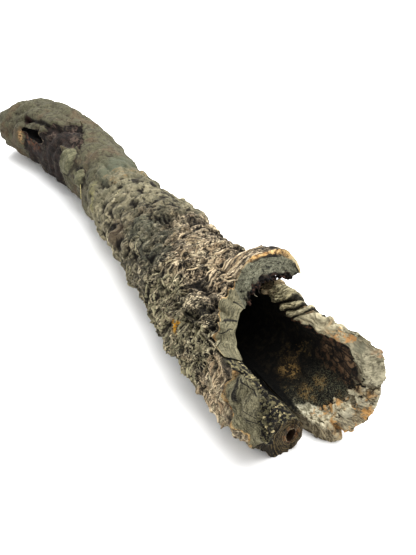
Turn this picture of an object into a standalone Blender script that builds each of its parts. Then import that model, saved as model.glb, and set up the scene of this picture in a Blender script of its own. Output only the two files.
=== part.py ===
"""A hollow tube of cork oak bark, lying on its side, as it came off the branch.

Metres, +Z up. The tube lies along Y with its broken mouth at -Y and its far end at +Y.
The wall is one sheet of bark: it is drawn as a grid that runs round the tube one way and,
the other way, along the outside, over the far rim, back along the bore and over the mouth's rim.
"""

import math

import bmesh
import bpy
from mathutils import Vector, noise

# Centre line of the branch, from the mouth to the far end:
# distance along Y, offset along X, radius over the bark, height of the underside over the ground.
SECTIONS = (
    (-0.050, 0.0035, 0.0490, 0.0000),
    (0.000, 0.0015, 0.0475, 0.0000),
    (0.040, -0.0005, 0.0455, 0.0012),
    (0.085, -0.0032, 0.0425, 0.0022),
    (0.140, -0.0026, 0.0410, 0.0025),
    (0.200, -0.0015, 0.0390, 0.0030),
    (0.265, -0.0005, 0.0355, 0.0030),
    (0.325, 0.0005, 0.0335, 0.0025),
    (0.380, 0.0000, 0.0345, 0.0010),
    (0.434, -0.0065, 0.0370, 0.0000),
    (0.470, -0.0145, 0.0345, 0.0015),
    (0.498, -0.0255, 0.0320, 0.0025),
    (0.514, -0.0345, 0.0285, 0.0050),
    (0.524, -0.0420, 0.0240, 0.0090),
)

SLIT_END = 0.096  # the slit between the flap and the right-hand wall runs back to here

# The broken rim of the mouth, round the tube: angle from +X over the top, in degrees,
# then how far along Y the bark starts on the outside and in the bore.
MOUTH_RIM = (
    (44.0, SLIT_END, SLIT_END + 0.002),
    (46.5, 0.056, 0.060),
    (60.0, 0.064, 0.056),
    (76.0, 0.066, 0.054),
    (91.0, 0.063, 0.049),
    (100.0, 0.055, 0.043),
    (112.0, 0.050, 0.039),
    (123.0, 0.0465, 0.032),
    (129.0, 0.038, 0.029),
    (134.0, 0.031, 0.0265),
    (140.5, 0.030, 0.019),
    (145.0, 0.028, 0.009),
    (146.5, 0.012, 0.008),
    (148.0, 0.022, 0.018),
    (150.0, -0.001, -0.020),
    (156.0, 0.001, -0.037),
    (166.0, 0.002, -0.042),
    (180.0, -0.002, -0.042),
    (185.0, -0.012, -0.041),
    (190.0, -0.026, -0.039),
    (204.0, -0.030, -0.036),
    (207.0, -0.029, -0.032),
    (224.0, -0.028, -0.029),
    (250.0, -0.027, -0.028),
    (268.0, -0.026, -0.027),
    (273.0, -0.024, -0.025),
    (276.5, 0.006, 0.006),
    (279.5, 0.038, 0.036),
    (282.0, -0.006, -0.004),
    (285.5, -0.017, -0.010),
    (291.0, -0.024, -0.020),
    (297.0, -0.031, -0.027),
    (301.5, -0.034, -0.028),
    (306.5, -0.029, -0.027),
    (312.0, -0.039, -0.031),
    (326.0, -0.043, -0.034),
    (340.0, -0.043, -0.035),
    (356.0, -0.045, -0.035),
    (372.0, -0.0435, -0.035),
    (386.0, -0.039, -0.029),
    (391.0, -0.038, -0.018),
    (394.0, -0.034, 0.012),
    (397.5, -0.022, 0.045),
    (401.0, 0.030, 0.075),
    (404.0, SLIT_END, SLIT_END + 0.002),
)
FAR_END = 0.524
FAR_RAGGED = 0.004
MOUTH_ZONE_END = 0.125  # past this the rows of the grid run straight round the tube

WALL_AT_MOUTH = 0.0130
WALL_AT_FAR_END = 0.0085
RIGHT_WALL_LOSS = 0.0040

# The flap at the top of the mouth: it has unrolled from the tube and its tip hooks over.
FLAP = {"from_deg": 95.0, "to_deg": 57.0, "lift": 0.0235, "wall_gain": 0.0050}
FLAP_FRONT = 0.072
FLAP_HOOK = {"from_deg": 84.0, "to_deg": 46.0, "swing_deg": 14.0}
FLAP_TIP = {"from_deg": 60.0, "to_deg": 46.0, "wall": 0.0080, "droop": 0.0085}

# The edge of the bark beside the slit curls in on itself: a roll lying along the floor.
ROLL = {"centre_deg": 249.0, "centre_radius": 0.0335, "radius": 0.0140, "thinnest": 0.0035}
ROLL_FRONT, ROLL_BACK = -0.002, 0.032
ROLL_BARK_LOSS = 0.0045  # the outer layers of bark end short of the roll's mouth
ROLL_FROM_DEG, ROLL_TO_DEG = 205.0, 277.0

# How far the right-hand wall stands out from the tube at its top edge: distance along Y, then how far.
RIGHT_FLARE = (
    (-0.050, 0.0045),
    (-0.025, 0.0042),
    (0.005, -0.0016),
    (0.030, -0.0025),
    (0.058, 0.0030),
    (SLIT_END, 0.0),
)

# Outer bark has come away here, towards the far end, down to the dark layer beneath.
STRIPPED = {"from": 0.388, "to": 0.456, "from_deg": 158.0, "to_deg": 198.0, "depth": 0.0028}

# Holes: centre, half-sizes and turn about Z. The window in the stripped bark goes through the wall;
# the roll beside the slit is hollow at its mouth.
WINDOW = ((-0.0400, 0.4440, 0.0500), (0.0150, 0.0150, 0.0062), 16.0)
ROLL_HOLLOW = ((-0.0052, -0.0300, 0.0165), (0.0030, 0.0160, 0.0045), 0.0)

# Relief of the bark, all as (length of one wave, height).
SWELL = (0.075, 0.0034)
KNOBS = (0.021, 0.0062)
RINGS = (0.0200, 0.0018)
BORE_SWELL = (0.030, 0.0016)
UNDERSIDE_RELIEF = 0.35  # share of the relief that wear leaves on the underside

# The tube bears on the ground near its mouth and again under its far half: from, to, how much it sags.
SEATS = ((-0.100, 0.010, 0.0036), (0.400, 0.440, 0.0010))

WIDEST_COLUMN_DEG = 12.0
MOUTH_ROWS = 21
BODY_ROWS = 59
BORE_SKIP = 6  # the bore has one row for this many rows outside
RIM_ROWS = 3


def ramp(value, start, end):
    """0 before start, 1 past end, smooth between them; start may be above end."""
    share = min(1.0, max(0.0, (value - start) / (end - start)))
    return share * share * (3.0 - 2.0 * share)


def hump(value, low, high, soft):
    """1 between low and high, falling smoothly to 0 over soft outside them."""
    return ramp(value, low - soft, low) * (1.0 - ramp(value, high, high + soft))


def on_curve(table, value, column):
    """The column of a table, read smoothly between its rows at this value of the first column."""
    last = len(table) - 1
    i = next((k for k in range(last) if value <= table[k + 1][0]), last - 1)
    before, here, there, after = (table[min(last, max(0, k))] for k in (i - 1, i, i + 1, i + 2))
    span = there[0] - here[0]
    slope_here = (there[column] - before[column]) / (there[0] - before[0]) * span
    slope_there = (after[column] - here[column]) / (after[0] - here[0]) * span
    t = min(1.0, max(0.0, (value - here[0]) / span))
    return (
        (2 * t**3 - 3 * t**2 + 1) * here[column]
        + (t**3 - 2 * t**2 + t) * slope_here
        + (3 * t**2 - 2 * t**3) * there[column]
        + (t**3 - t**2) * slope_there
    )


def straight_between(table, value, column):
    """The column of a table, read in straight lines between its rows."""
    for here, there in zip(table, table[1:]):
        if value <= there[0]:
            share = (value - here[0]) / (there[0] - here[0])
            return here[column] + (there[column] - here[column]) * share
    return table[-1][column]


def column_angles():
    """Angles of the grid's columns: every corner of the mouth's rim, and as many between as are needed."""
    angles = []
    for here, there in zip(MOUTH_RIM, MOUTH_RIM[1:]):
        pieces = math.ceil((there[0] - here[0]) / WIDEST_COLUMN_DEG)
        angles += [here[0] + (there[0] - here[0]) * k / pieces for k in range(pieces)]
    return angles + [MOUTH_RIM[-1][0]]


def flap_share(along, degrees):
    """How far this place has unrolled from the tube, where the top of the mouth hooks up."""
    return ramp(along, SLIT_END, FLAP_FRONT) * ramp(degrees, FLAP["from_deg"], FLAP["to_deg"])


def with_roll(outside, inside, along, degrees):
    """The wall's outer and inner radius, with the roll beside the slit taken in."""
    share = ramp(along, ROLL_BACK, ROLL_FRONT)
    if not ROLL_FROM_DEG < degrees < ROLL_TO_DEG or share == 0.0:
        return outside, inside
    away = math.radians(degrees - ROLL["centre_deg"])
    middle = ROLL["centre_radius"] * math.cos(away)
    square = ROLL["radius"] ** 2 - (ROLL["centre_radius"] * math.sin(away)) ** 2
    reach = math.sqrt(max(square, (ROLL["thinnest"] / 2) ** 2))
    stripped = outside - ROLL_BARK_LOSS * ramp(along, -0.012, -0.020)
    far_side = middle + reach if away > 0 else max(stripped, middle + reach)
    near_side = min(inside, middle - reach)
    return outside + (far_side - outside) * share, inside + (near_side - inside) * share


def wall_thickness(along, degrees):
    wall = WALL_AT_MOUTH + (WALL_AT_FAR_END - WALL_AT_MOUTH) * ramp(along, 0.02, 0.45)
    wall -= RIGHT_WALL_LOSS * hump(degrees, 345, 404, 20) * ramp(along, SLIT_END, 0.03)
    wall += FLAP["wall_gain"] * hump(degrees, 58, 90, 14) * ramp(along, SLIT_END, FLAP_FRONT)
    return wall


def bark_relief(place, along):
    """Height of the bark's swells, knobs and rings at a place on the smooth tube."""
    swell = noise.noise(place / SWELL[0]) * SWELL[1]
    stretched = Vector((place.x, place.y * 1.3, place.z)) / KNOBS[0]
    knob = (abs(noise.noise(stretched)) ** 0.7 - 0.30) * KNOBS[1]
    warp = 1.6 * noise.noise(place / 0.035)
    ring = math.sin(2 * math.pi * (along / RINGS[0] + warp)) * RINGS[1]
    return swell + knob + ring * ramp(along, 0.20, 0.11)


def wall_point(along, degrees, depth):
    """A point of the wall: depth 0 is on the bark and 1 is in the bore."""
    centre_x = on_curve(SECTIONS, along, 1)
    radius = on_curve(SECTIONS, along, 2)
    centre = Vector((centre_x, along, radius + on_curve(SECTIONS, along, 3)))
    step = 0.004
    turn = math.atan2(on_curve(SECTIONS, along - step, 1) - on_curve(SECTIONS, along + step, 1), 2 * step)
    flap = flap_share(along, degrees)
    free = ramp(along, SLIT_END, FLAP_FRONT)
    tip = free * ramp(degrees, FLAP_TIP["from_deg"], FLAP_TIP["to_deg"])
    hook = free * ramp(degrees, FLAP_HOOK["from_deg"], FLAP_HOOK["to_deg"])
    angle = math.radians(degrees - FLAP_HOOK["swing_deg"] * hook)
    outward = Vector((math.cos(angle) * math.cos(turn), math.cos(angle) * math.sin(turn), math.sin(angle)))
    place = centre + outward * radius
    under = hump(math.degrees(angle) % 360, 250, 290, 35)
    relief = bark_relief(place, along) * (1 - (1 - UNDERSIDE_RELIEF) * under)
    flare = straight_between(RIGHT_FLARE, along, 1) * ramp(degrees, 360, 394)
    stripped = hump(along, STRIPPED["from"], STRIPPED["to"], 0.012)
    stripped *= hump(degrees, STRIPPED["from_deg"], STRIPPED["to_deg"], 12) * STRIPPED["depth"]
    outside = radius + relief - stripped + flare + FLAP["lift"] * flap - FLAP_TIP["droop"] * tip
    wall = wall_thickness(along, degrees) - stripped
    wall += noise.noise(place / BORE_SWELL[0] + Vector((7, 3, 1))) * BORE_SWELL[1]
    wall += relief * 0.7
    wall += (FLAP_TIP["wall"] - wall) * tip
    outside, inside = with_roll(outside, outside - wall, along, degrees)
    outside += under * sum(sag * hump(along, start, stop, 0.025) for start, stop, sag in SEATS)
    point = centre + outward * (outside + (inside - outside) * depth)
    point.z = max(0.0, point.z)  # the underside is worn flat where it meets the ground
    return point


def grid_rows():
    """The grid's rows, once round the wall's section: (share of the way along, depth in the wall)."""
    count = MOUTH_ROWS + BODY_ROWS
    outside = [(k / count, 0.0) for k in range(count)]
    far_rim = [(1.0, k / RIM_ROWS) for k in range(RIM_ROWS)]
    bore = [(1.0 - k / count, 1.0) for k in range(0, count, BORE_SKIP)]
    mouth_rim = [(0.0, 1.0 - k / RIM_ROWS) for k in range(RIM_ROWS + 1)]
    return outside + far_rim + bore + mouth_rim


def distance_along(share, degrees, depth):
    """Where this row crosses this column: the mouth's ragged rim evens out over the mouth's rows."""
    outer = straight_between(MOUTH_RIM, degrees, 1)
    inner = straight_between(MOUTH_RIM, degrees, 2)
    start = outer + (inner - outer) * depth
    rough = noise.noise(Vector((math.cos(math.radians(degrees)), math.sin(math.radians(degrees)), 0)) * 2.5)
    end = FAR_END + FAR_RAGGED * rough
    turn_row = MOUTH_ROWS / (MOUTH_ROWS + BODY_ROWS)
    if share < turn_row:
        return start + (MOUTH_ZONE_END - start) * share / turn_row
    return MOUTH_ZONE_END + (end - MOUTH_ZONE_END) * (share - turn_row) / (1 - turn_row)


def clear_scene():
    for obj in list(bpy.data.objects):
        bpy.data.objects.remove(obj, do_unlink=True)


def bark_material():
    material = bpy.data.materials.new("weathered_cork_bark")
    material.use_nodes = True
    shader = material.node_tree.nodes["Principled BSDF"]
    shader.inputs["Base Color"].default_value = (0.20, 0.175, 0.125, 1.0)
    shader.inputs["Roughness"].default_value = 0.92
    shader.inputs["Metallic"].default_value = 0.0
    return material


def make_tube(collection):
    angles = column_angles()
    rows = grid_rows()
    mesh = bpy.data.meshes.new("cork_bark_tube")
    sheet = bmesh.new()
    bmesh.ops.create_grid(sheet, x_segments=len(angles) - 1, y_segments=len(rows) - 1, size=0.5)
    for vertex in sheet.verts:
        column = round((vertex.co.x + 0.5) * (len(angles) - 1))
        row = round((vertex.co.y + 0.5) * (len(rows) - 1))
        share, depth = rows[row]
        degrees = angles[column]
        vertex.co = wall_point(distance_along(share, degrees, depth), degrees, depth)
    bmesh.ops.remove_doubles(sheet, verts=sheet.verts, dist=0.00001)
    bmesh.ops.triangulate(sheet, faces=sheet.faces)
    bmesh.ops.recalc_face_normals(sheet, faces=sheet.faces)
    sheet.to_mesh(mesh)
    sheet.free()
    tube = bpy.data.objects.new("cork_bark_tube", mesh)
    tube.data.materials.append(bark_material())
    collection.objects.link(tube)
    tube.data.shade_smooth()
    return tube


def cut_hollow(tube, name, hollow, cutters):
    """Take an egg-shaped hollow out of the wall."""
    centre, half_sizes, turn_deg = hollow
    shape = bmesh.new()
    bmesh.ops.create_icosphere(shape, subdivisions=2, radius=1.0)
    bmesh.ops.scale(shape, vec=half_sizes, verts=shape.verts)
    mesh = bpy.data.meshes.new(name)
    shape.to_mesh(mesh)
    shape.free()
    cutter = bpy.data.objects.new(name, mesh)
    cutter.location = centre
    cutter.rotation_euler.z = math.radians(turn_deg)
    cutter.hide_render = True
    cutter.display_type = "WIRE"
    cutters.objects.link(cutter)
    cut = tube.modifiers.new(name, "BOOLEAN")
    cut.operation = "DIFFERENCE"
    cut.object = cutter
    cut.solver = "EXACT"
    return cutter


def main():
    clear_scene()
    collection = bpy.data.collections.new("cork_bark_tube")
    cutters = bpy.data.collections.new("hollows")
    bpy.context.scene.collection.children.link(collection)
    bpy.context.scene.collection.children.link(cutters)
    tube = make_tube(collection)
    hollows = [
        cut_hollow(tube, "window_hollow", WINDOW, cutters),
        cut_hollow(tube, "roll_hollow", ROLL_HOLLOW, cutters),
    ]
    # The origin is on the ground, under the middle of the tube's bounding box.
    middle = [sum(ends) / 2 for ends in zip(tube.bound_box[0], tube.bound_box[6])]
    for piece in [tube, *hollows]:
        piece.location.x -= middle[0]
        piece.location.y -= middle[1]


main()
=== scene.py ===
"""A weathered tube of cork oak bark on a white floor, seen from above its broken mouth."""

import math
import random

import bmesh
import bpy
from mathutils import Matrix, Vector, noise


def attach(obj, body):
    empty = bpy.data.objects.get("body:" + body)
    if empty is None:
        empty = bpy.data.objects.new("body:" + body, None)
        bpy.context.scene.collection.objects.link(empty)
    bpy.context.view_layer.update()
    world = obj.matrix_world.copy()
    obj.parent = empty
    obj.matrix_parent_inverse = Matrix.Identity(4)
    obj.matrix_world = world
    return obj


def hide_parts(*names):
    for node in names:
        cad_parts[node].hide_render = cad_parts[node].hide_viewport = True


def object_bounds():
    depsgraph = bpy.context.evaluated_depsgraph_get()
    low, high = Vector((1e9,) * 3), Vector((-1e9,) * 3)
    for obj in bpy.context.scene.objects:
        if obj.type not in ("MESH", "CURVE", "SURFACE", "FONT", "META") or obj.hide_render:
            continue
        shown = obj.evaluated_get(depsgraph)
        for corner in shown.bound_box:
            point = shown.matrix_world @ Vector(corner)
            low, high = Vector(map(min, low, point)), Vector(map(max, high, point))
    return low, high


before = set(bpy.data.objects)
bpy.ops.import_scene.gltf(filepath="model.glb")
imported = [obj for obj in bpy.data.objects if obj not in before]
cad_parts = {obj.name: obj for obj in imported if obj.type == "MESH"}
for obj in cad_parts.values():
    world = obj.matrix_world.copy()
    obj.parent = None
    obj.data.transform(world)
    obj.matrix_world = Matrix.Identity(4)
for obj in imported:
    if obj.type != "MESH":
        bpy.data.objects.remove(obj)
solid_box = [list(corner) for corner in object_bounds()]
noise.seed_set(7)  # so that noise_vector gives the same values in every run


# The bark tube: one sheet of bark that grew round a branch of cork oak and came off it whole.
# Its grid runs round the tube one way; the other way it goes along the outside, over the far rim,
# back along the bore and over the mouth's rim. All sizes are metres, in the tube's own frame.

ORIGIN = Vector((0.005683038, -0.245560586, 0.0))  # the tube's middle, from where its sizes are taken

# Distance along Y, offset along X, radius over the bark, height of the underside over the ground.
SECTIONS = (
    (-0.050, 0.0035, 0.0490, 0.0000),
    (0.000, 0.0015, 0.0475, 0.0000),
    (0.040, -0.0005, 0.0455, 0.0012),
    (0.085, -0.0032, 0.0425, 0.0022),
    (0.140, -0.0026, 0.0410, 0.0025),
    (0.200, -0.0015, 0.0390, 0.0030),
    (0.265, -0.0005, 0.0355, 0.0030),
    (0.325, 0.0005, 0.0335, 0.0025),
    (0.380, 0.0000, 0.0345, 0.0010),
    (0.434, -0.0065, 0.0370, 0.0000),
    (0.470, -0.0145, 0.0345, 0.0015),
    (0.498, -0.0255, 0.0320, 0.0025),
    (0.514, -0.0345, 0.0285, 0.0050),
    (0.524, -0.0420, 0.0240, 0.0090),
)
SLIT_END = 0.096

# The rim of the mouth: angle, then where the bark starts outside and in the bore.
MOUTH_RIM = (
    (44.0, SLIT_END, SLIT_END + 0.002),
    (46.5, 0.056, 0.060),
    (60.0, 0.064, 0.056),
    (76.0, 0.066, 0.054),
    (91.0, 0.063, 0.049),
    (100.0, 0.055, 0.043),
    (112.0, 0.050, 0.039),
    (123.0, 0.0465, 0.032),
    (129.0, 0.038, 0.029),
    (134.0, 0.031, 0.0265),
    (140.5, 0.030, 0.019),
    (145.0, 0.029, 0.009),
    (145.8, 0.020, 0.0085),
    (146.8, 0.009, 0.008),
    (147.2, 0.036, 0.032),
    (147.8, 0.036, 0.030),
    (148.3, 0.004, -0.010),
    (150.0, -0.001, -0.022),
    (156.0, 0.001, -0.037),
    (166.0, 0.002, -0.042),
    (180.0, -0.002, -0.042),
    (185.0, -0.012, -0.041),
    (190.0, -0.026, -0.039),
    (203.0, -0.031, -0.038),
    (206.0, -0.024, -0.026),
    (224.0, -0.024, -0.025),
    (250.0, -0.024, -0.025),
    (268.0, -0.024, -0.025),
    (273.0, -0.024, -0.025),
    (276.5, 0.006, 0.006),
    (279.5, 0.038, 0.036),
    (282.0, -0.006, -0.004),
    (285.5, -0.017, -0.010),
    (291.0, -0.024, -0.020),
    (297.0, -0.031, -0.027),
    (301.5, -0.034, -0.028),
    (306.5, -0.029, -0.027),
    (312.0, -0.039, -0.031),
    (326.0, -0.043, -0.034),
    (340.0, -0.043, -0.035),
    (356.0, -0.045, -0.035),
    (372.0, -0.0435, -0.035),
    (386.0, -0.039, -0.029),
    (391.0, -0.038, -0.018),
    (394.0, -0.034, 0.012),
    (397.5, -0.022, 0.045),
    (401.0, 0.030, 0.075),
    (404.0, SLIT_END, SLIT_END + 0.002),
)
FAR_END, FAR_RAGGED = 0.524, 0.004
MOUTH_ZONE_END, WAIST_END = 0.125, 0.270

ROWS_OUTSIDE = {"mouth": 100, "waist": 108, "far": 66}
ROWS_IN_MOUTH, ROWS_IN_BODY = 26, 12
ROWS_FAR_RIM, ROWS_MOUTH_RIM = 4, 18
# Angles between the grid's columns change here: from, to, how many. The flap, the gap under the sawn
# face and the right-hand wall's torn edge have most.
COLUMN_SPREAD = (
    (44.0, 95.0, 60),
    (95.0, 144.0, 46),
    (144.0, 146.8, 6),
    (146.8, 147.2, 1),
    (147.2, 147.8, 1),
    (147.8, 148.3, 1),
    (148.3, 152.0, 5),
    (152.0, 204.0, 46),
    (204.0, 276.0, 38),
    (276.0, 386.0, 58),
    (386.0, 404.0, 28),
)
COLUMN_ANGLES = [low + (high - low) * k / count for low, high, count in COLUMN_SPREAD for k in range(count)]
COLUMN_ANGLES.append(404.0)

WALL_AT_MOUTH, WALL_AT_FAR_END, RIGHT_WALL_LOSS = 0.0130, 0.0085, 0.0040
FLAP = {"from": 95.0, "to": 57.0, "lift": 0.0235, "wall_gain": 0.0050, "front": 0.072}
FLAP_HOOK = {"from": 84.0, "to": 46.0, "swing": 14.0}
FLAP_TIP = {"from": 60.0, "to": 46.0, "wall": 0.0080, "droop": 0.0062}
ROLL = {"centre": 249.0, "out": 0.0335, "radius": 0.0140, "thinnest": 0.0035, "from": 205.0, "to": 277.0}
ROLL_FRONT, ROLL_BACK, ROLL_BARK_LOSS = -0.002, 0.032, 0.0045
RIGHT_FLARE = (
    (-0.050, 0.0030),
    (-0.030, 0.0058),
    (-0.012, 0.0040),
    (0.005, 0.0004),
    (0.030, -0.0022),
    (0.058, 0.0030),
    (SLIT_END, 0.0),
)
STRIPPED_DEPTH, HELD_IN = 0.0032, 0.00005
# Size of the lumps and how high they stand: broad swells, knobs, rings round the tube, swells in the bore.
SWELL, LUMPS, RINGS, BORE_SWELL = (0.075, 0.0034), (0.021, 0.0062), (0.020, 0.0018), (0.030, 0.0016)
RELIEF_IN_BORE, UNDERSIDE_WEAR = 0.7, 0.65
SEATS = ((-0.100, 0.010, 0.0036), (0.400, 0.440, 0.0010))
WINDOW = (Vector((-0.0410, 0.4475, 0.0496)), Vector((0.0120, 0.0215, 0.0056)), 11.0)
ROLL_HOLLOW = (Vector((-0.0053, -0.0250, 0.0155)), Vector((0.0038, 0.0180, 0.0056)), 0.0)

# Knobs that stand out by eye, and pits: place, radius, height.
KNOBS = (
    (Vector((-0.0303, 0.3659, 0.0528)), 0.0158, 0.0050),
    (Vector((-0.0310, 0.3315, 0.0502)), 0.0112, 0.0046),
    (Vector((-0.0086, 0.3246, 0.0692)), 0.0180, 0.0030),
    (Vector((-0.0580, 0.5050, 0.0350)), 0.0130, 0.0030),
    (Vector((-0.0410, 0.2100, 0.0540)), 0.0095, 0.0040),
)
PITS = (
    (Vector((-0.0390, 0.4690, 0.0570)), 0.0036, 0.0070),
    (Vector((-0.0209, 0.1985, 0.0790)), 0.0042, 0.0050),
    (Vector((-0.0401, 0.2180, 0.0519)), 0.0060, 0.0060),
    (Vector((-0.0420, 0.2320, 0.0500)), 0.0060, 0.0040),
    (Vector((0.0040, 0.1480, 0.0800)), 0.0050, 0.0045),
    (Vector((-0.0286, 0.3460, 0.0549)), 0.0050, 0.0032),
    (Vector((-0.0251, 0.2922, 0.0625)), 0.0038, 0.0030),
    (Vector((-0.0405, 0.1960, 0.0530)), 0.0048, 0.0050),
    (Vector((-0.0339, 0.0800, 0.0756)), 0.0036, 0.0040),
    (Vector((-0.0448, 0.0416, 0.0601)), 0.0060, 0.0030),
)
# Deep gaps between the bark's lumps: points along each one in millimetres, half-width, depth.
CREVICES = (
    (((-42, 472, 58), (-33, 444, 65), (-24, 415, 67.5), (-3, 397, 72)), 2.4, 3.4),
    (((-3, 397, 72), (-9, 375, 70), (-23, 375, 62)), 2.0, 2.2),
    (((-31, 341, 53), (-25, 335, 58)), 2.0, 3.0),
    (((-29, 290, 59), (-21, 288, 65)), 1.8, 2.6),
    (((-37, 186, 62), (-40, 172, 58), (-41, 157, 58)), 2.4, 2.6),
    (((-43, 45, 66), (-46, 33, 56), (-46, 21, 53)), 3.2, 3.2),
    (((-28, 80, 80), (-24, 70, 84)), 3.0, 2.8),
    (((-19, 54, 88), (-17, 47, 89)), 2.2, 2.4),
    (((-28, 124, 78), (-22, 112, 82)), 2.2, 2.6),
    (((-10, 118, 86), (2, 106, 88), (9, 98, 87)), 2.0, 2.2),
)
SWIRL = Vector((-0.0031, 0.1690, 0.0835))  # a knot that the bark's ridges turn round
# Where the bark's edge draws in between two lumps at the mouth: angle, depth, half-width.
NOTCHES = ((99.0, 0.0020, 3.0), (110.5, 0.0036, 3.6), (124.0, 0.0034, 3.6), (136.0, 0.0030, 3.4))
# Where the right-hand wall's top dips: depth, the angles it starts between, from and to along, softness.
WALL_TOP_DIPS = ((0.0010, 384, 396, 0.030, 0.078, 0.014), (0.0034, 386, 399, 0.060, 0.082, 0.012))
# Size of the bark's patterns in millimetres: lumps, mounds, folds and wrinkles, longer round the tube.
LUMP_MM, MOUND_MM, FOLD_MM, WRINKLE_MM = (19, 14, 19), (19, 12, 19), (15, 5, 15), (9, 3, 9)
CRUMB_MM, PIT_MM, FOLD_ROUNDING = 2.6, 14, 2.4


def ramp(value, start, end):
    share = min(1.0, max(0.0, (value - start) / (end - start)))
    return share * share * (3.0 - 2.0 * share)


def hump(value, low, high, soft):
    return ramp(value, low - soft, low) * (1.0 - ramp(value, high, high + soft))


def on_curve(table, value, column):
    last = len(table) - 1
    i = next((k for k in range(last) if value <= table[k + 1][0]), last - 1)
    before, here, there, after = (table[min(last, max(0, k))] for k in (i - 1, i, i + 1, i + 2))
    span = there[0] - here[0]
    slope_here = (there[column] - before[column]) / (there[0] - before[0]) * span
    slope_there = (after[column] - here[column]) / (after[0] - here[0]) * span
    t = min(1.0, max(0.0, (value - here[0]) / span))
    return (
        (2 * t**3 - 3 * t**2 + 1) * here[column]
        + (t**3 - 2 * t**2 + t) * slope_here
        + (3 * t**2 - 2 * t**3) * there[column]
        + (t**3 - t**2) * slope_there
    )


def straight_between(table, value, column):
    for here, there in zip(table, table[1:]):
        if value <= there[0]:
            share = (value - here[0]) / (there[0] - here[0])
            return here[column] + (there[column] - here[column]) * share
    return table[-1][column]


def with_roll(outside, inside, along, degrees):
    share = ramp(along, ROLL_BACK, ROLL_FRONT)
    if not ROLL["from"] < degrees < ROLL["to"] or share == 0.0:
        return outside, inside
    away = math.radians(degrees - ROLL["centre"])
    middle = ROLL["out"] * math.cos(away)
    square = ROLL["radius"] ** 2 - (ROLL["out"] * math.sin(away)) ** 2
    reach = math.sqrt(max(square, (ROLL["thinnest"] / 2) ** 2))
    stripped = outside - ROLL_BARK_LOSS * ramp(along, -0.012, -0.020)
    far_side = middle + reach if away > 0 else max(stripped, middle + reach)
    near_side = min(inside, middle - reach)
    return outside + (far_side - outside) * share, inside + (near_side - inside) * share


def coarse_relief(place, along):
    swell = noise.noise(place / SWELL[0]) * SWELL[1]
    stretched = Vector((place.x, place.y * 1.3, place.z)) / LUMPS[0]
    knob = (abs(noise.noise(stretched)) ** 0.7 - 0.30) * LUMPS[1]
    warp = 1.6 * noise.noise(place / 0.035)
    ring = math.sin(2 * math.pi * (along / RINGS[0] + warp)) * RINGS[1]
    return swell + knob + ring * ramp(along, 0.20, 0.11)


def waves(place, length, shift):
    return math.sin(place / length * 2 * math.pi + shift)


def knob_relief(place):
    """How far the bark stands out at its knobs, and how deep it is at its pits and crevices."""
    raised = sum(size * ramp((place - spot).length, radius, radius * 0.45) for spot, radius, size in KNOBS)
    sunk = sum(size * math.exp(-(((place - spot).length / radius) ** 2)) for spot, radius, size in PITS)
    wandered = (place + noise.noise_vector(place / 0.009) * 0.0016) * 1000
    deepest = 0.0
    for places, half, deep in CREVICES:
        for here, there in zip(places, places[1:]):
            if abs(wandered.y - (here[1] + there[1]) / 2) > abs(here[1] - there[1]) / 2 + 8:
                continue
            start, run = Vector(here), Vector(there) - Vector(here)
            share = min(1.0, max(0.0, (wandered - start).dot(run) / run.length_squared))
            away = (start + run * share - wandered).length
            deepest = max(deepest, deep * math.exp(-((away / half) ** 2)))
    away = (place - SWIRL).length
    swirl = waves(away, 0.0040, 2 * noise.noise(place / 0.010))
    return raised, sunk + deepest / 1000 - swirl * 0.0013 * ramp(away, 0.024, 0.010)


def stripped_share(along, degrees):
    """1 where the outer bark has come away near the far end: beside the window, and a block above it."""
    wander = Vector((degrees / 11, along * 95, 4.0))
    degrees += 9 * noise.noise(wander)
    along += 0.010 * noise.noise(wander + Vector((0, 0, 7)))
    beside = hump(degrees, 152, 203, 9) * hump(along, 0.392, 0.472, 0.010)
    low = max(0.404 - 0.00125 * (degrees - 85), 0.364 + 0.00108 * (degrees - 117))
    high = 0.404 + 0.00058 * (degrees - 85)
    above = hump(along, low, high, 0.004) * hump(degrees, 84, 146, 4) * (high > low)
    return max(beside, above)


def terraced(value):
    """Broad steps with steep ragged sides, as bark that flakes in layers has."""
    floor = math.floor(value)
    return floor + ramp(value - floor, 0.30, 0.62)


def in_cells(place, sizes, shift=(0, 0, 0)):
    """A place counted in cells of a pattern."""
    return Vector([at / size + by for at, size, by in zip(place, sizes, shift)])


def rounded(value, steepness):
    """0 in the creases where a noise crosses zero, and 1 on the rounded tops between them."""
    return min(1.0, abs(value) * steepness) ** 0.6


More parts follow.
